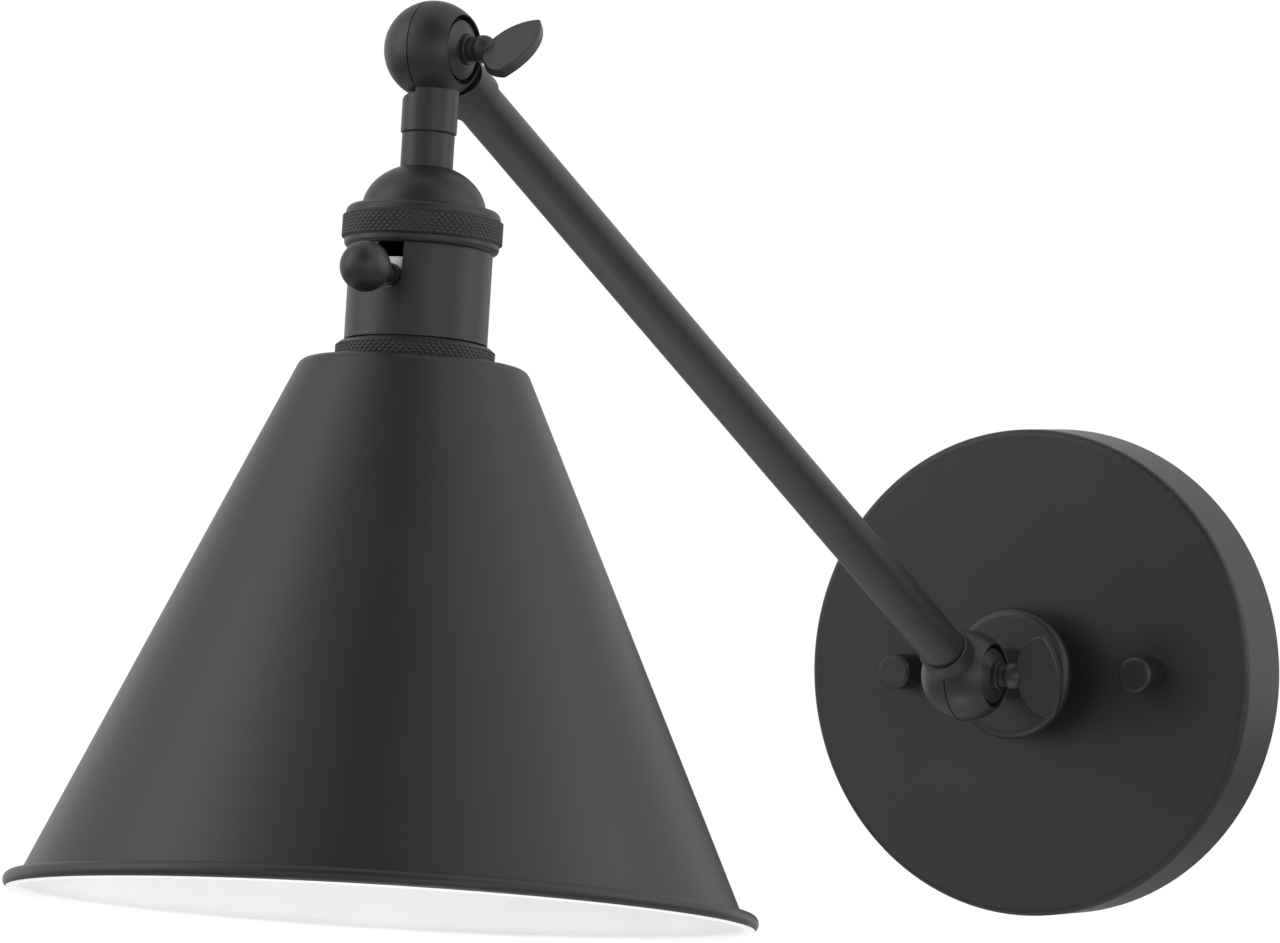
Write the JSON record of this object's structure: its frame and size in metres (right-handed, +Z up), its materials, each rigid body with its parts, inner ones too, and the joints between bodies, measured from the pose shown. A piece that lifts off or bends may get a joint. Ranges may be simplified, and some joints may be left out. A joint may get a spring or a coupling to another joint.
{
  "type": "swing arm wall sconce",
  "caption": "Wall sconce with a round wall plate, a straight arm between two ball knuckles with wing screws, and a conical metal shade on a knurled lampholder with a turn knob.",
  "frame": {"origin": "centre of the wall plate on the wall plane, midway between the bracket's two slots", "axes": "+Y into the wall, +Z up, +X to the right as seen from the room"},
  "size_m": [0.1764, 0.4427, 0.2275],
  "materials": {
    "black_paint": "satin black powder coat",
    "white_paint": "satin white enamel",
    "zinc_steel": "bright zinc plate",
    "green_paint": "green dyed zinc plate",
    "white_ceramic": "white glazed porcelain",
    "brass": "plain brass",
    "nickel_shell": "rolled bright aluminium",
    "black_fibre": "black vulcanised fibre",
    "wire_jacket": "insulated conductor"
  },
  "bodies": {
    "wall_mount": {"backplate": "black_paint", "crossbar": "zinc_steel", "mounting_studs": "zinc_steel", "stud_lock_nuts": "zinc_steel", "cap_nuts": "black_paint", "ground_screw": "green_paint", "hub_bushing": "black_paint"},
    "hub": {"hub_disc": "black_paint", "hub_nipple": "zinc_steel", "hub_washer": "zinc_steel", "hub_lock_nut": "zinc_steel", "hub_knuckle": "black_paint", "hub_leads": "wire_jacket"},
    "lower_wing": {"lower_wing_screw": "black_paint"},
    "arm": {"lower_arm_knuckle": "black_paint", "lower_dish_washer": "black_paint", "friction_washers": "black_fibre", "arm_tube": "black_paint", "arm_leads": "wire_jacket", "upper_arm_knuckle": "black_paint"},
    "upper_wing": {"upper_wing_screw": "black_paint"},
    "head": {"head_knuckle": "black_paint", "upper_dish_washer": "black_paint", "head_stem": "black_paint", "stem_nipple": "zinc_steel", "cap_lock_nut": "zinc_steel", "socket_cap": "black_paint", "cap_ring": "black_paint", "socket_shell": "black_paint", "insulating_liner": "black_fibre", "socket_leads": "wire_jacket", "switch_housing": "white_ceramic", "terminal_screws": "brass", "knob_bushing": "black_paint", "lamp_body": "white_ceramic", "screw_shell": "nickel_shell", "centre_contact": "brass", "shade_ring": "black_paint", "shade": "black_paint", "shade_ring_nut": "white_paint"},
    "knob": {"switch_knob": "black_paint", "switch_shaft": "zinc_steel"}
  },
  "joints": [
    {"name": "hub_swivel", "type": "hinge", "parent": "wall_mount", "child": "hub", "pos_m": [0, -0.027, 0], "axis": [0, -1, 0], "range_deg": [-90, 90]},
    {"name": "arm_tilt", "type": "hinge", "parent": "hub", "child": "arm", "pos_m": [0, -0.0542, 0], "axis": [1, 0, 0], "range_deg": [-50, 60]},
    {"name": "shade_tilt", "type": "hinge", "parent": "arm", "child": "head", "pos_m": [0, -0.33037, 0.15233], "axis": [1, 0, 0], "range_deg": [-110, 3]},
    {"name": "lower_wing_turn", "type": "hinge", "parent": "hub", "child": "lower_wing", "pos_m": [0, -0.0542, 0], "axis": [1, 0, 0], "range_deg": [0, 180]},
    {"name": "upper_wing_turn", "type": "hinge", "parent": "arm", "child": "upper_wing", "pos_m": [0, -0.33037, 0.15233], "axis": [1, 0, 0], "range_deg": [0, 180]},
    {"name": "knob_turn", "type": "hinge", "parent": "head", "child": "knob", "pos_m": [0, -0.33721, 0.09745], "axis": [0.0785, -0.9893, 0.1232], "continuous": true}
  ]
}
